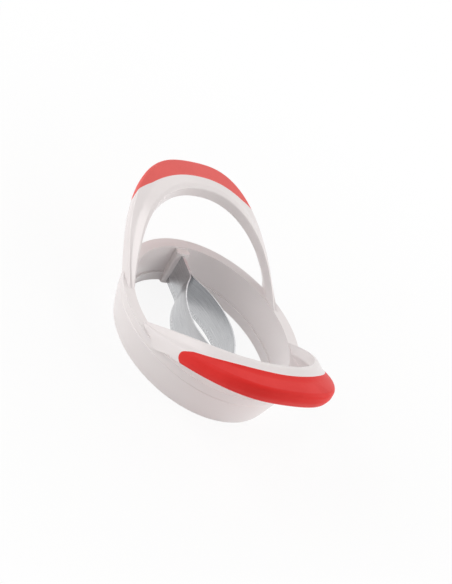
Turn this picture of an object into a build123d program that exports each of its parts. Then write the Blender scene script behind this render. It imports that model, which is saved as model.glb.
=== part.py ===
from build123d import *
import math
import os

# Mango slicer: an oval ring with two raised hoop handles, soft grips and a pair of pit blades.
# Millimetres, +Z up, +X towards the near handle, origin at the middle of the base face.

# Oval skirt of the ring, wider at the ledge than at the foot
base_half_length = 58.3
base_half_width = 49.0
skirt_flare_lengthwise = 5.5
skirt_flare_sideways = 5.4
ledge_half_length = base_half_length + skirt_flare_lengthwise
ledge_half_width = base_half_width + skirt_flare_sideways
skirt_height = 24.4
skirt_belly = 0.8
ledge_width = 6.6
ledge_edge_radius = 1.6
foot_edge_radius = 0.8
base_wall = 3.0
inner_step_height = 6.0
inner_step_reach = 1.0

# Parting between the base ring and the handle frame
parting_drop = 5.8
parting_height = skirt_height - parting_drop
parting_bevel = 0.3
spigot_depth = 5.0
spigot_wall = 2.2

# Hoop handles, plan outlines as rounded ovals through the feet and the far end
hoop_overhang = 30.0
hoop_reach = ledge_half_length + hoop_overhang
hoop_side_setback = 4.8
hoop_half_width = ledge_half_width - hoop_side_setback
hoop_squareness = 2.7
hoop_end_width = 23.2
hoop_inner_reach = hoop_reach - hoop_end_width
hoop_side_width = 2.4
hoop_inner_half_width = hoop_half_width - hoop_side_width
hoop_inner_squareness = 2.23
hoop_rise = 35.9
hoop_top_height = skirt_height + hoop_rise
hoop_end_dip = 1.9
hoop_inner_top_height = hoop_top_height - hoop_end_dip
hoop_foot_share = 0.2
hoop_foot_x = hoop_foot_share * ledge_half_length
hoop_inner_swell_share = 0.066
hoop_rise_ease_share = 0.1
hoop_foot_sink = 4.0
foot_least_rise = 2.0
section_angles = [87, 84, 81, 78, 74.5, 71, 66, 59, 50, 38.5, 26, 13]

# Cross-section of the handle band
nose_height_leg = 8.2
nose_height_end = 11.6
rim_height = 6.6
nose_undercut = 1.4
nose_bulge = 0.5
nose_middle_share = 0.5
nose_shoulder_drop = 0.6
crotch_start_share = 0.5
crotch_end_share = 0.68
foot_proud = 0.2
foot_below_ledge = 1.2
dish_depth = 0.7
dish_share = 0.5
lip_width_share = 0.14
lip_rise = 0.6
full_band_width = 14.0
nose_top_radius = 2.4
nose_middle_radius = 6.0
nose_bottom_radius = 3.2
dish_radius = 9.0
lip_radius = 1.6
rim_radius = 1.0
corner_reach_share = 0.42

# Soft grips on the outer edge of each hoop
grip_thickness = 1.8
near_grip_length = 43.6
near_grip_top_width = 15.0
far_grip_length = 26.5
far_grip_top_width = 12.6
grip_end_width = 1.3
grip_tip_radius = 4.6
grip_tip_half_angle = 22.0
grip_tip_slope = 24.0

# Pit blades
blade_thickness = 0.8
blade_edge_z = 1.0
blade_top_drop = 2.4
blade_top_z = skirt_height - blade_top_drop
blade_bevel_height = 3.5
blade_edge_thickness = 0.12
pit_half_length = 38.0
pit_half_width = 12.4
tail_bend_radius = 9.0
tail_cover = 0.9
tail_half_length = base_half_length - tail_cover

# Blade pockets in the ring
pocket_width = 8.0
pocket_reach = 3.0
pocket_top_drop = 1.0
pocket_corner_radius = 1.2

cut_overrun = 5.0


def oval(half_length, half_width, height):
    return Plane.XY.offset(height) * Ellipse(half_length, half_width)


def skirt_half_sizes(height):
    share = height / skirt_height
    belly = 4 * skirt_belly * share * (1 - share)
    half_length = base_half_length + (ledge_half_length - base_half_length) * share + belly
    half_width = base_half_width + (ledge_half_width - base_half_width) * share + belly
    return half_length, half_width


def skirt_blank():
    heights = [0, skirt_height / 3, 2 * skirt_height / 3, skirt_height]
    blank = loft([oval(*skirt_half_sizes(height), height) for height in heights])
    top_edge = blank.edges().sort_by(Axis.Z)[-1]
    foot_edge = blank.edges().sort_by(Axis.Z)[0]
    blank = fillet(top_edge, ledge_edge_radius)
    return fillet(foot_edge, foot_edge_radius)


def bore_half_sizes(height):
    share = height / skirt_height
    foot_length = base_half_length - base_wall
    foot_width = base_half_width - base_wall
    top_length = ledge_half_length - ledge_width
    top_width = ledge_half_width - ledge_width
    return foot_length + (top_length - foot_length) * share, foot_width + (top_width - foot_width) * share


def bore(low, high, extra=0.0):
    ovals = []
    for height in (low, high):
        half_length, half_width = bore_half_sizes(height)
        ovals.append(oval(half_length + extra, half_width + extra, height))
    return loft(ovals)


def superoval(reach, half_width, squareness, angle):
    turn = math.radians(angle)
    x = reach * abs(math.cos(turn)) ** (2 / squareness)
    y = half_width * math.copysign(abs(math.sin(turn)) ** (2 / squareness), turn)
    return x, y


def blend(low, high, value):
    share = min(max((value - low) / (high - low), 0), 1)
    return share * share * (3 - 2 * share)


def outer_height(x):
    share = (x - hoop_foot_x) / (hoop_reach - hoop_foot_x)
    wave = (1 - math.cos(math.pi * min(max(share, 0), 1))) / 2
    eased = (1 - hoop_rise_ease_share) * share + hoop_rise_ease_share * wave
    return skirt_height + (hoop_top_height - skirt_height) * eased


def inner_height(x):
    share = (x - hoop_foot_x) / (hoop_inner_reach - hoop_foot_x)
    swell = hoop_inner_swell_share * math.sin(math.pi * min(max(share, 0), 1))
    return skirt_height + (hoop_inner_top_height - skirt_height) * (share + swell)


def skirt_gap(x, y, height):
    half_length, half_width = skirt_half_sizes(height)
    side = half_width * math.sqrt(max(1 - (x / half_length) ** 2, 0))
    return abs(y) - side


def band_outline(angle, inset=0.0):
    ox, oy = superoval(hoop_reach, hoop_half_width, hoop_squareness, angle)
    ix, iy = superoval(hoop_inner_reach, hoop_inner_half_width, hoop_inner_squareness, angle)
    width = math.hypot(ix - ox, iy - oy)
    low = skirt_height - hoop_foot_sink
    top = max(outer_height(ox), low + foot_least_rise)
    inner_top = max(inner_height(ix), low + foot_least_rise)
    grown = min(width / full_band_width, 1)
    end_share = (ox - hoop_foot_x) / (hoop_reach - hoop_foot_x)
    nose_height = nose_height_leg + (nose_height_end - nose_height_leg) * end_share
    free = blend(crotch_start_share * ledge_half_length, crotch_end_share * ledge_half_length, ox)
    foot_middle = skirt_height - foot_below_ledge
    skirt_in = skirt_gap(ox, oy, foot_middle) - foot_proud
    middle_in = skirt_in + (-nose_bulge - skirt_in) * free
    free_middle = top - nose_height * nose_middle_share
    middle = foot_middle + (free_middle - foot_middle) * free
    bottom = low + (max(top - nose_height, low) - low) * free
    lip_width = lip_width_share * width

    def slope(share):
        return top + (inner_top - top) * share

    points = [
        (max(middle_in, 0) + nose_undercut + inset, bottom + inset),
        (middle_in + inset, min(middle, top - nose_shoulder_drop)),
        (inset, top - inset),
        (width * dish_share, slope(dish_share) - dish_depth * grown - inset),
        (width - lip_width - inset, slope(1 - lip_width_share) + lip_rise * grown - inset),
        (width - inset, inner_top - inset),
        (width - inset, max(inner_top - rim_height, low) + inset),
    ]
    radii = [
        nose_bottom_radius,
        nose_middle_radius,
        nose_top_radius,
        dish_radius,
        lip_radius,
        rim_radius,
        rim_radius,
    ]
    along = ((ix - ox) / width, (iy - oy) / width)
    return points, [radius * grown for radius in radii], (ox, oy), along


def rounded_wire(points, radii, start, along):
    def place(u, v):
        return Vector(start[0] + along[0] * u, start[1] + along[1] * u, v)

    corners = []
    count = len(points)
    for index in range(count):
        here = Vector(*points[index])
        back = Vector(*points[index - 1]) - here
        ahead = Vector(*points[(index + 1) % count]) - here
        half_turn = math.radians(back.get_angle(ahead)) / 2
        reach = radii[index] / math.tan(half_turn)
        reach = min(reach, corner_reach_share * back.length, corner_reach_share * ahead.length)
        radius = reach * math.tan(half_turn)
        middle = (back.normalized() + ahead.normalized()).normalized()
        centre_distance = radius / math.sin(half_turn)
        corners.append((
            here + back.normalized() * reach,
            here + middle * (centre_distance - radius),
            here + ahead.normalized() * reach,
        ))
    edges = []
    for index in range(count):
        first, crown, last = [place(corner.X, corner.Y) for corner in corners[index]]
        following = place(corners[(index + 1) % count][0].X, corners[(index + 1) % count][0].Y)
        edges.append(Edge.make_three_point_arc(first, crown, last))
        edges.append(Edge.make_line(last, following))
    return Wire(edges)


def hoop_loft(inset=0.0):
    angles = [-angle for angle in section_angles] + [0] + section_angles[::-1]
    wires = [rounded_wire(*band_outline(angle, inset)) for angle in angles]
    return Solid.make_loft(wires)


def trimmed_hoop():
    bore_oval = oval(*bore_half_sizes(skirt_height), skirt_height - 2 * hoop_foot_sink)
    return hoop_loft() - extrude(bore_oval, 4 * hoop_foot_sink)


def grip_crescent(end_x, top_width):
    end_share = (1 - (end_x / hoop_reach) ** hoop_squareness) ** (1 / hoop_squareness)
    end_y = hoop_half_width * end_share - grip_end_width
    inner_x = hoop_reach - top_width
    centre = (inner_x**2 - end_x**2 - end_y**2) / (2 * (inner_x - end_x))
    return Pos(centre, 0, hoop_top_height) * Cylinder(inner_x - centre, 2 * hoop_reach)


def grip_end_profile(end_x):
    end_share = (end_x - hoop_foot_x) / (hoop_reach - hoop_foot_x)
    nose_height = nose_height_leg + (nose_height_end - nose_height_leg) * end_share
    middle = outer_height(end_x) - nose_height * nose_middle_share
    tip_reach = grip_tip_radius / math.sin(math.radians(grip_tip_half_angle))
    side = 2 * hoop_reach
    corners = [(0, 0)]
    for sign in (-1, 1):
        turn = math.radians(sign * grip_tip_half_angle)
        corners.append((side * math.cos(turn), side * math.sin(turn)))
    wedge = make_face(Polyline(*corners, close=True))
    wedge = fillet(wedge.vertices().sort_by(Axis.X)[0], grip_tip_radius)
    wedge = Pos(grip_tip_radius - tip_reach, 0) * wedge
    wedge = Pos(end_x, middle) * wedge.rotate(Axis.Z, grip_tip_slope)
    return extrude(Plane.XZ * wedge, hoop_reach, both=True)


def hoop_and_grip(hoop, core, grip_length, top_width):
    end_x = hoop_reach - grip_length
    grip = hoop & (grip_end_profile(end_x) - grip_crescent(end_x, top_width) - core)
    return hoop - grip, grip


def blade_line(offset, reverse=False):
    turn = 2 * math.degrees(math.atan(pit_half_width / pit_half_length))
    belly_radius = pit_half_length / math.sin(math.radians(turn)) - tail_bend_radius
    start = (-tail_half_length, offset)
    tail = Line(start, (-pit_half_length, offset))
    bend = JernArc(tail @ 1, tail % 1, tail_bend_radius - offset, turn)
    belly = JernArc(bend @ 1, bend % 1, belly_radius + offset, -2 * turn)
    back = JernArc(belly @ 1, belly % 1, tail_bend_radius - offset, turn)
    end = Line(back @ 1, (tail_half_length, offset))
    return [tail, bend, belly, back, end]


def blade_strip(low_offset, high_offset, height):
    low = blade_line(low_offset)
    high = blade_line(high_offset)
    near_end = Line(low[-1] @ 1, high[-1] @ 1)
    far_end = Line(low[0] @ 0, high[0] @ 0)
    return Pos(0, 0, height) * make_face(Wire(low + high + [near_end, far_end]))


def right_blade():
    bevel_top = blade_edge_z + blade_bevel_height
    body = extrude(blade_strip(0, blade_thickness, bevel_top), blade_top_z - bevel_top)
    thin_low = (blade_thickness - blade_edge_thickness) / 2
    edge = blade_strip(thin_low, thin_low + blade_edge_thickness, blade_edge_z)
    bevel = loft([edge, blade_strip(0, blade_thickness, bevel_top)], ruled=True)
    return body + bevel


def blade_pockets():
    top = skirt_height - pocket_top_drop
    reach = bore_half_sizes(0)[0] - pocket_reach
    depth = tail_half_length - reach
    pads = []
    for side in (-1, 1):
        pad = Pos(side * (reach + depth / 2), 0, top / 2) * Box(depth, pocket_width, top)
        inner_edges = pad.edges().filter_by(Axis.Z).sort_by(Axis.X)
        inner_edges = inner_edges[:2] if side > 0 else inner_edges[-2:]
        pads.append(fillet(inner_edges, pocket_corner_radius))
    return pads


def tail_slots():
    height = blade_top_z - blade_edge_z
    reach = bore_half_sizes(0)[0] - pocket_reach - cut_overrun
    depth = tail_half_length - reach
    slots = []
    for side in (-1, 1):
        centre = Pos(side * (reach + depth / 2), 0, blade_edge_z + height / 2)
        slots.append(centre * Box(depth, 2 * blade_thickness, height))
    return slots


def half_space(low, high):
    span = 3 * hoop_reach
    return Pos(0, 0, (low + high) / 2) * Box(span, span, high - low)


def step_opening():
    half_length, half_width = bore_half_sizes(inner_step_height)
    opening = oval(half_length - inner_step_reach, half_width - inner_step_reach, -cut_overrun)
    return extrude(opening, inner_step_height + 2 * cut_overrun)


def ring_blank():
    return skirt_blank() - bore(inner_step_height, skirt_height) - step_opening()


def parting_chamfered(ring, at_top):
    rim = ring.faces().sort_by(Axis.Z)[-1 if at_top else 0].outer_wire().edges()
    return chamfer(rim, parting_bevel)


def base_ring(blank, pads):
    seat = parting_height - spigot_depth
    ring = parting_chamfered(blank & half_space(-cut_overrun, parting_height), True)
    ring = ring - bore(seat, skirt_height, spigot_wall)
    return ring + [pad & half_space(0, seat) for pad in pads] - tail_slots()


def handle_frame(blank, pads, hoops):
    seat = parting_height - spigot_depth
    ring = parting_chamfered(blank & half_space(parting_height, skirt_height + cut_overrun), False)
    spigot = bore(seat, parting_height, spigot_wall) - bore(seat, parting_height)
    ring = ring + spigot + [pad & half_space(seat, skirt_height) for pad in pads]
    return ring - tail_slots() + hoops


def save(shape, name):
    solids = shape.solids()
    print(name, "solids", len(solids), "volume", round(shape.volume, 1), "valid", shape.is_valid)
    export_step(solids[0] if len(solids) == 1 else shape, f"parts/{name}.step")


os.makedirs("parts", exist_ok=True)
blank = ring_blank()
hoop = trimmed_hoop()
core = hoop_loft(grip_thickness)
near_hoop, near_grip = hoop_and_grip(hoop, core, near_grip_length, near_grip_top_width)
far_hoop, far_grip = hoop_and_grip(hoop, core, far_grip_length, far_grip_top_width)
blade = right_blade()
pads = blade_pockets()
save(base_ring(blank, pads), "base_ring")
save(handle_frame(blank, pads, [near_hoop, far_hoop.rotate(Axis.Z, 180)]), "handle_frame")
save(near_grip, "near_grip")
save(far_grip.rotate(Axis.Z, 180), "far_grip")
save(blade, "right_blade")
save(blade.mirror(Plane.XZ), "left_blade")
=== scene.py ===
# %% [markdown]
# A mango slicer stands on a white table. It is an oval ring of glossy white plastic that
# carries two raised hoop handles, and each hoop wears a soft red grip on its outer edge. Two
# thin steel blades cross the ring back to back and bow apart in the middle. The solids come from
# a fixed CAD frame, so this lesson is about finishes, light and the camera. Nothing in it moves
# a solid.

import math

import bpy
from mathutils import Matrix, Vector


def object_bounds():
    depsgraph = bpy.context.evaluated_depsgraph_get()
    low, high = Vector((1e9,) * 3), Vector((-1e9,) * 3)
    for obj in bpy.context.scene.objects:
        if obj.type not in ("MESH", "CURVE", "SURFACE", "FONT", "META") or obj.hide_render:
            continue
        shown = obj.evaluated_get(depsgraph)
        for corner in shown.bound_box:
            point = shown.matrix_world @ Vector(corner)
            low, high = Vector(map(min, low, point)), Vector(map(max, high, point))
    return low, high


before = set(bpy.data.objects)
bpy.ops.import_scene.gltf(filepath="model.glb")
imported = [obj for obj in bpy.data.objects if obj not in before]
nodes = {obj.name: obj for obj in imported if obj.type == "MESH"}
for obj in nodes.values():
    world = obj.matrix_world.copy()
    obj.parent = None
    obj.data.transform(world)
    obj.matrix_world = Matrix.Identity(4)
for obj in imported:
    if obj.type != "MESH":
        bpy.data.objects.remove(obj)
cad_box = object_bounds()
print("solids in the frame:", sorted(nodes))

# %% [markdown]
# A finish is a small network of shader nodes. It could be wired by hand, one link at a time,
# but then the reader sees cables and not the idea. Here a socket is wrapped in a class, so
# that a finish reads as sums and products: `1 - mask` or `speckle * 0.2` adds its Math node.
# Colours never go through Math nodes, which would turn them grey. They are mixed instead.

# %% A socket that can be used in an expression


class Shade:
    """A socket's value while a finish is written down as an expression."""

    def __init__(self, finish, socket):
        self.finish = finish
        self.socket = socket

    def math(self, operation, first, second):
        return self.finish.node("ShaderNodeMath", {"operation": operation}, {0: first, 1: second})

    def __add__(self, other):
        return self.math("ADD", self, other)

    def __radd__(self, other):
        return self.math("ADD", other, self)

    def __sub__(self, other):
        return self.math("SUBTRACT", self, other)

    def __rsub__(self, other):
        return self.math("SUBTRACT", other, self)

    def __mul__(self, other):
        return self.math("MULTIPLY", self, other)

    def __rmul__(self, other):
        return self.math("MULTIPLY", other, self)


print("shade expressions ready")

# %% [markdown]
# One method makes every node. It takes the node's type, its settings, which are set first
# because some of them change the sockets, and what goes into its sockets: a plain value is
# written down, and a shade is linked. A material and the world hold their nodes in the same
# kind of tree, so one class serves both.

# %% The finish, which holds the nodes


class Finish:
    """The node tree of a material or of the world."""

    def __init__(self, owner):
        self.owner = owner
        owner.use_nodes = True
        self.tree = owner.node_tree
        self.tree.nodes.clear()

    def node(self, kind, settings=None, inputs=None, output=0):
        made = self.tree.nodes.new(kind)
        for name, value in (settings or {}).items():
            setattr(made, name, value)
        for name, value in (inputs or {}).items():
            if isinstance(value, Shade):
                self.tree.links.new(value.socket, made.inputs[name])
            else:
                made.inputs[name].default_value = value
        return Shade(self, made.outputs[output]) if made.outputs else None


print("finish trees ready")

# %% [markdown]
# Nearly every detail of a moulded or ground surface starts as a grain: noise of a certain size,
# measured in metres on the object itself, so that it stays put when the camera moves. Noise
# could also be laid on with an image, but a formula has no seams and needs no unwrapping. A
# grain that is squeezed one way and stretched the other turns into streaks.

# %% A grain, and the height above the table


def place_on_object(finish):
    return finish.node("ShaderNodeTexCoord", output="Object")


def grain(finish, size, detail=2.0, roughness=0.5, squeeze=(1, 1, 1)):
    spot = {0: place_on_object(finish), 1: squeeze}
    squeezed = finish.node("ShaderNodeVectorMath", {"operation": "MULTIPLY"}, spot)
    inputs = {"Vector": squeezed, "Scale": 1 / size, "Detail": detail, "Roughness": roughness}
    return finish.node("ShaderNodeTexNoise", None, inputs)


def height(finish):
    return finish.node("ShaderNodeSeparateXYZ", None, {0: place_on_object(finish)}, "Z")


print("grain and height ready")

# %% [markdown]
# A grain is a soft grey everywhere. To say where something happens, it goes through a fade,
# which is dark below one level and light above another. A tint then takes one colour where the
# fade is dark and a second where it is light, and a bump reads a grain as small hills of a
# given depth, which costs no faces.

# %% A fade, a tint and a bump
MIX_FACTOR, MIX_FIRST_COLOUR, MIX_SECOND_COLOUR, MIX_COLOUR_RESULT = 0, 6, 7, 2


def fade(value, low, high):
    settings = {"interpolation_type": "SMOOTHSTEP", "clamp": True}
    inputs = {"Value": value, "From Min": low, "From Max": high, "To Min": 0.0, "To Max": 1.0}
    return value.finish.node("ShaderNodeMapRange", settings, inputs)


def tint(factor, first, second):
    inputs = {MIX_FACTOR: factor, MIX_FIRST_COLOUR: first, MIX_SECOND_COLOUR: second}
    return factor.finish.node("ShaderNodeMix", {"data_type": "RGBA"}, inputs, MIX_COLOUR_RESULT)


def bump(hills, depth, strength=1.0, under=None):
    inputs = {"Height": hills, "Distance": depth, "Strength": strength}
    if under is not None:
        inputs["Normal"] = under
    return hills.finish.node("ShaderNodeBump", None, inputs)


print("fade, tint and bump ready")

# %% [markdown]
# The last node of a finish is its surface. Plastic, rubber and steel could each have a shader
# of their own, but one principled shader covers all three and is the one that an exported model
# keeps. So a finish ends by handing its shades to that shader's sockets by name.

# %% The surface


def surface(finish, inputs):
    shader = finish.node("ShaderNodeBsdfPrincipled", None, inputs)
    finish.node("ShaderNodeOutputMaterial", None, {"Surface": shader})
    return finish.owner


print("surface ready")

# %% [markdown]
# The ring and the hoops are one kind of moulding: a warm white ABS, polished in the mould. A
# flat white would look like paper. Real mouldings have three things to catch: slow waves from
# shrinkage, which bend the highlights, a very fine peel, and patches that hands and boards have
# rubbed duller. The waves and the peel are bumps, and the rubbed patches are roughness. Only the
# outermost skin is polished, so a thin smooth coat lies over a softer body: it draws the small
# crisp highlights along the edges, and the body below it keeps the broad faces satin.

# %% White moulding
MOULDING_LIGHT = (0.800, 0.757, 0.758, 1)
MOULDING_DEEP = (0.775, 0.729, 0.725, 1)
MOULDING_IOR = 1.52
SHRINK_WAVE = 0.040
SHRINK_DEPTH = 0.00008
PEEL_SIZE = 0.0011
PEEL_DEPTH = 0.000006
RUB_SIZE = 0.009
RUB_LEVELS = (0.50, 0.72)
FOOT_RUB_HEIGHT = 0.0035
WAVE_SHARE = 0.8
BODY_ROUGHNESS = 0.31
RUBBED_DULLER = 0.06
PEEL_DULLER = 0.04
FOOT_DULLER = 0.14
POLISHED_SKIN = 0.30
POLISHED_ROUGHNESS = 0.18


def white_moulding(name):
    finish = Finish(bpy.data.materials.new(name))
    wave = grain(finish, SHRINK_WAVE, detail=0.0)
    peel = grain(finish, PEEL_SIZE)
    rubbed = fade(grain(finish, RUB_SIZE, detail=4.0, roughness=0.6), *RUB_LEVELS)
    foot = 1 - fade(height(finish), 0.0, FOOT_RUB_HEIGHT)
    tone = wave * WAVE_SHARE + peel * (1 - WAVE_SHARE)
    dulled = rubbed * RUBBED_DULLER + peel * PEEL_DULLER + foot * FOOT_DULLER
    waves = bump(wave, SHRINK_DEPTH)
    return surface(finish, {
        "Base Color": tint(tone, MOULDING_DEEP, MOULDING_LIGHT),
        "Roughness": BODY_ROUGHNESS + dulled,
        "IOR": MOULDING_IOR,
        "Coat Weight": POLISHED_SKIN,
        "Coat Roughness": POLISHED_ROUGHNESS,
        "Normal": bump(peel, PEEL_DEPTH, under=waves),
    })


print("white moulding defined")

# %% [markdown]
# The grips are a soft rubbery skin moulded over the hoops. Such a skin is never glossy: its
# mould is sand-blasted, so it carries a tiny even grain that spreads the highlight. Handling
# polishes the grain a little where the fingers close. A finer and a coarser grain are added
# together, and the polish is a slow patchy change of roughness. A pale pink is tinted over the
# red as a painted highlight, a little more on top of the grain than between. It stands for the
# broad highlight of light from above and behind, and is not a colour of the rubber.

# %% Red grip skin
GRIP_RED = (0.760, 0.022, 0.018, 1)
GRIP_DEEP_RED = (0.700, 0.016, 0.013, 1)
# pale pink painted over the red as a painted highlight, not a colour of the rubber
GRIP_PAINTED_HIGHLIGHT = (0.960, 0.580, 0.540, 1)
GRIP_SHEEN_TINT = (1.0, 0.93, 0.92, 1)
GRIP_GRAIN = 0.00042
GRIP_COARSE_GRAIN = 0.0016
GRIP_GRAIN_DEPTH = 0.00006
FINE_SHARE = 0.6
GRIP_PATCH = 0.014
PATCH_LEVELS = (0.35, 0.65)
PATCH_SHARE = 0.5
GRIP_ROUGHNESS = 0.52
PATCH_POLISH = 0.06
GRAIN_DULLER = 0.08
PAINTED_BETWEEN_GRAINS = 0.7
PAINTED_ON_GRAINS = 0.6


def grip_skin(name, painted_highlight):
    finish = Finish(bpy.data.materials.new(name))
    fine = grain(finish, GRIP_GRAIN)
    coarse = grain(finish, GRIP_COARSE_GRAIN, detail=3.0)
    patch = fade(grain(finish, GRIP_PATCH), *PATCH_LEVELS)
    hills = fine * FINE_SHARE + coarse * (1 - FINE_SHARE)
    red = tint(patch * PATCH_SHARE + coarse * (1 - PATCH_SHARE), GRIP_DEEP_RED, GRIP_RED)
    # how much pale pink is painted over the red as a painted highlight
    painted_share = painted_highlight * (PAINTED_BETWEEN_GRAINS + fine * PAINTED_ON_GRAINS)
    return surface(finish, {
        "Base Color": tint(painted_share, red, GRIP_PAINTED_HIGHLIGHT),
        "Roughness": GRIP_ROUGHNESS - patch * PATCH_POLISH + fine * GRAIN_DULLER,
        "Specular IOR Level": 0.16,
        "Sheen Weight": 0.12,
        "Sheen Roughness": 0.45,
        "Sheen Tint": GRIP_SHEEN_TINT,
        "Normal": bump(hills, GRIP_GRAIN_DEPTH, strength=0.7),
    })


print("grip skin defined")

# %% [markdown]
# The two grips differ in their painted highlight. The near one has almost none, and the far one
# is painted a chalky pink, which stands for the broad highlight that light from above and behind
# lays on it. Two whole finishes could be written, but the grips differ in this one amount, so
# each gets a short function that says how much painted highlight it has.

# %% Painted highlight of the two grips
# the amount of painted highlight on each grip: the far grip's pale pink is painted light
NEAR_PAINTED_HIGHLIGHT = 0.01
FAR_PAINTED_HIGHLIGHT = 0.20


def near_grip_skin(name):
    return grip_skin(name, NEAR_PAINTED_HIGHLIGHT)


def far_grip_skin(name):
    return grip_skin(name, FAR_PAINTED_HIGHLIGHT)


print("bloom of the near and the far grip:", NEAR_PAINTED_HIGHLIGHT, FAR_PAINTED_HIGHLIGHT)

# %% [markdown]
# The blades are stainless strip. It is rolled and brushed along its length, so the finish is
# long fine streaks, and then the lower edge is ground to a bevel with marks that run across.
# Streaks come from a grain that is squeezed in height and stretched along the strip, and a fade
# on height changes one grain for the other where the bevel starts.

# %% Brushed blade steel
STEEL_LIGHT = (0.74, 0.745, 0.755, 1)
STEEL_DARK = (0.40, 0.405, 0.42, 1)
MARK_SIZE = 0.004
MARK_LEVELS = (0.25, 0.75)
MARK_DEPTH = 0.00002
SQUEEZE_TO_STREAKS = (0.3, 0.3, 30)
SQUEEZE_TO_GROUND_MARKS = (25, 25, 0.6)
BEVEL_LEVELS = (0.0041, 0.0046)
BEVEL_ROUGHNESS = 0.16
MARKS_DULLER = 0.20
BRUSHED_DULLER = 0.04


def blade_steel(name):
    finish = Finish(bpy.data.materials.new(name))
    streaks = grain(finish, MARK_SIZE, detail=4.0, roughness=0.7, squeeze=SQUEEZE_TO_STREAKS)
    ground = grain(finish, MARK_SIZE, detail=3.0, roughness=0.6, squeeze=SQUEEZE_TO_GROUND_MARKS)
    brushed = fade(height(finish), *BEVEL_LEVELS)
    marks = streaks * brushed + ground * (1 - brushed)
    return surface(finish, {
        "Base Color": tint(fade(marks, *MARK_LEVELS), STEEL_DARK, STEEL_LIGHT),
        "Metallic": 1.0,
        "Roughness": BEVEL_ROUGHNESS + marks * MARKS_DULLER + brushed * BRUSHED_DULLER,
        "Normal": bump(marks, MARK_DEPTH, strength=0.8),
    })


print("blade steel defined")

# %% [markdown]
# Each solid keeps its own material slot, so that a later user can repaint one piece alone.
# The slot's place is taken by a finish of its own, made by the function for its kind.

# %% Dress the solids
FINISHES = {
    "base_ring": white_moulding,
    "handle_frame": white_moulding,
    "near_grip": near_grip_skin,
    "far_grip": far_grip_skin,
    "left_blade": blade_steel,
    "right_blade": blade_steel,
}

for node_name, make_finish in FINISHES.items():
    piece = nodes[node_name]
    piece.data.materials.clear()
    piece.data.materials.append(make_finish(f"{node_name}_finish"))
    print(node_name, "wears", piece.data.materials[0].name)

# %% [markdown]
# The photograph shows the slicer on pure white. A white table could be lit until it burns
# out, but then the white plastic would burn out too. Instead the table shows plain white to
# the camera and in reflections, mixed with a share of its real lit surface, so that a soft
# shadow is kept. Far from the slicer that share fades to nothing.

# %% Finish of the white table
WHITE = (1, 1, 1, 1)
TABLE_WHITE = (0.94, 0.94, 0.94, 1)
TABLE_GLOW_SHARE = 0.88
SHADOW_REACH = 0.10
WHITE_REACH = 0.36


def seen_or_mirrored(finish):
    seen = finish.node("ShaderNodeLightPath", output="Is Camera Ray")
    mirrored = finish.node("ShaderNodeLightPath", output="Is Glossy Ray")
    return seen + mirrored


def table_finish():
    finish = Finish(bpy.data.materials.new("white_table"))
    lit = finish.node("ShaderNodeBsdfDiffuse", None, {"Color": TABLE_WHITE})
    plain = finish.node("ShaderNodeEmission", None, {"Color": WHITE, "Strength": 1.0})
    spot = {0: place_on_object(finish)}
    distance = finish.node("ShaderNodeVectorMath", {"operation": "LENGTH"}, spot, "Value")
    away = fade(distance, SHADOW_REACH, WHITE_REACH)
    share = seen_or_mirrored(finish) * (TABLE_GLOW_SHARE + (1 - TABLE_GLOW_SHARE) * away)
    blended = finish.node("ShaderNodeMixShader", None, {0: share, 1: lit, 2: plain})
    finish.node("ShaderNodeOutputMaterial", None, {"Surface": blended})
    return finish.owner


print("table finish defined")

# %% [markdown]
# The table itself is one square, so large that its edges stay out of every view.

# %% White table
TABLE_HALF_SIDE = 3.0


def table_top():
    mesh = bpy.data.meshes.new("table_top")
    side = TABLE_HALF_SIDE
    corners = [(-side, -side, 0), (side, -side, 0), (side, side, 0), (-side, side, 0)]
    mesh.from_pydata(corners, [], [(0, 1, 2, 3)])
    made = bpy.data.objects.new("table_top", mesh)
    bpy.context.scene.collection.objects.link(made)
    made.location.z = cad_box[0].z
    made.data.materials.append(table_finish())
    return made


table = table_top()
print("table at height", round(table.location.z, 5))

# %% [markdown]
# The world is the studio's white tent. The camera and the reflections see it as plain white,
# which keeps steel bright and gives the polished skin something to mirror. As a light on soft
# surfaces it is turned down to a pale grey, so that the lamps can model the form.

# %% White tent
TENT_COLOUR = (1.0, 0.985, 0.975, 1)
TENT_LEVEL = 0.36


def white_tent():
    finish = Finish(bpy.data.worlds.new("white_tent"))
    dim = {"Color": TENT_COLOUR, "Strength": TENT_LEVEL}
    plain = {"Color": WHITE, "Strength": 1.0}
    blended = finish.node("ShaderNodeMixShader", None, {
        0: seen_or_mirrored(finish),
        1: finish.node("ShaderNodeBackground", None, dim),
        2: finish.node("ShaderNodeBackground", None, plain),
    })
    finish.node("ShaderNodeOutputWorld", None, {"Surface": blended})
    return finish.owner


bpy.context.scene.world = white_tent()
print("tent:", bpy.context.scene.world.name)

# %% [markdown]
# Four wide lamps stand round the slicer. The key is on the camera's left. The back lamp stands
# beyond the ring, on the right, and opens up the inside of the skirt. The fill is low and to the
# camera's right. The rim lamp is high behind the far hoop and weak, since it only has to draw
# the top of that hoop. Small lamps would burn white spots into the moulding, so each is a disk
# of a metre or more, turned to look at the slicer. Each row gives a place, a width and a power.

# %% Lamps
LOOK_AT = Vector((0.0, 0.0, 0.03))
LAMPS = {
    "key_lamp": ((-0.50, -1.05, 0.65), 1.3, 11.0, (1.0, 0.985, 0.975)),
    "back_lamp": ((0.20, 1.00, 0.70), 1.3, 6.8, (1.0, 0.985, 0.970)),
    "fill_lamp": ((0.95, 0.65, 0.35), 1.2, 4.7, (1.0, 0.980, 0.970)),
    "rim_lamp": ((-0.80, 0.25, 0.90), 1.0, 1.3, (1.0, 0.980, 0.960)),
}


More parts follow.
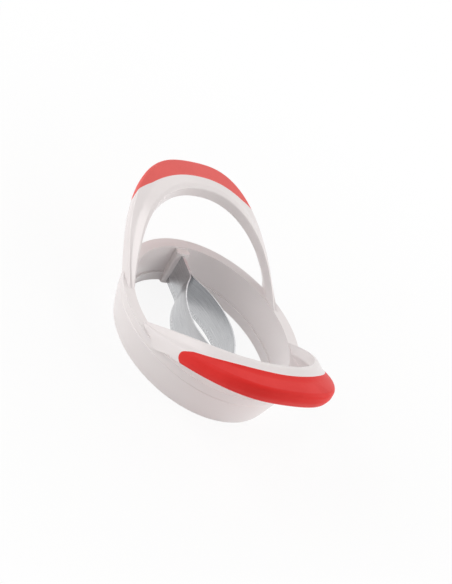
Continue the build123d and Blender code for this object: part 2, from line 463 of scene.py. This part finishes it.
def soft_lamp(name, place, width, watts, colour):
    data = bpy.data.lights.new(name, "AREA")
    data.shape = "DISK"
    data.size = width
    data.energy = watts
    data.color = colour
    lamp = bpy.data.objects.new(name, data)
    bpy.context.scene.collection.objects.link(lamp)
    lamp.location = place
    lamp.rotation_mode = "QUATERNION"
    lamp.rotation_quaternion = (LOOK_AT - lamp.location).to_track_quat("-Z", "Y")
    return lamp


lamps = [soft_lamp(name, *settings) for name, settings in LAMPS.items()]
print("lamps:", [lamp.name for lamp in lamps])

# %% [markdown]
# The camera looks down on the slicer from beyond its near handle, through a long lens, and it
# is rolled, so that the table seems tilted. Its place is written as an angle round the slicer,
# an angle above the table and a distance from the point that falls in the frame's middle.

# %% Camera axes
CAMERA_TURN = -39.44
CAMERA_RISE = 32.38
CAMERA_ROLL = 33.03


def camera_axes():
    turn = math.radians(CAMERA_TURN)
    rise = math.radians(CAMERA_RISE)
    flat = math.cos(rise)
    back = Vector((math.cos(turn) * flat, math.sin(turn) * flat, math.sin(rise)))
    level = Vector((-math.sin(turn), math.cos(turn), 0.0))
    above = back.cross(level)
    roll = math.radians(CAMERA_ROLL)
    right = level * math.cos(roll) + above * math.sin(roll)
    return right, back.cross(right), back


print("camera looks back along", [round(value, 3) for value in camera_axes()[2]])

# %% [markdown]
# The three axes become the columns of a turned frame, and the camera steps back from its aim
# along the last of them. The lens is long because the photograph shows hardly any perspective.
# The colours go to the screen as they are, by the standard view.

# %% Camera
CAMERA_AIM = Vector((-0.0161, 0.0117, 0.0303))
CAMERA_DISTANCE = 1.1616
CAMERA_LENS = 126.36
CAMERA_CLIP_END = 20


def photo_camera():
    data = bpy.data.cameras.new("photo_camera")
    data.lens = CAMERA_LENS
    data.clip_end = CAMERA_CLIP_END
    camera = bpy.data.objects.new("photo_camera", data)
    bpy.context.scene.collection.objects.link(camera)
    right, above, back = camera_axes()
    turned = Matrix((right, above, back)).transposed().to_4x4()
    camera.matrix_world = Matrix.Translation(CAMERA_AIM + back * CAMERA_DISTANCE) @ turned
    return camera


bpy.context.scene.camera = photo_camera()
bpy.context.scene.view_settings.view_transform = "Standard"
print("camera at", [round(value, 3) for value in bpy.context.scene.camera.location])
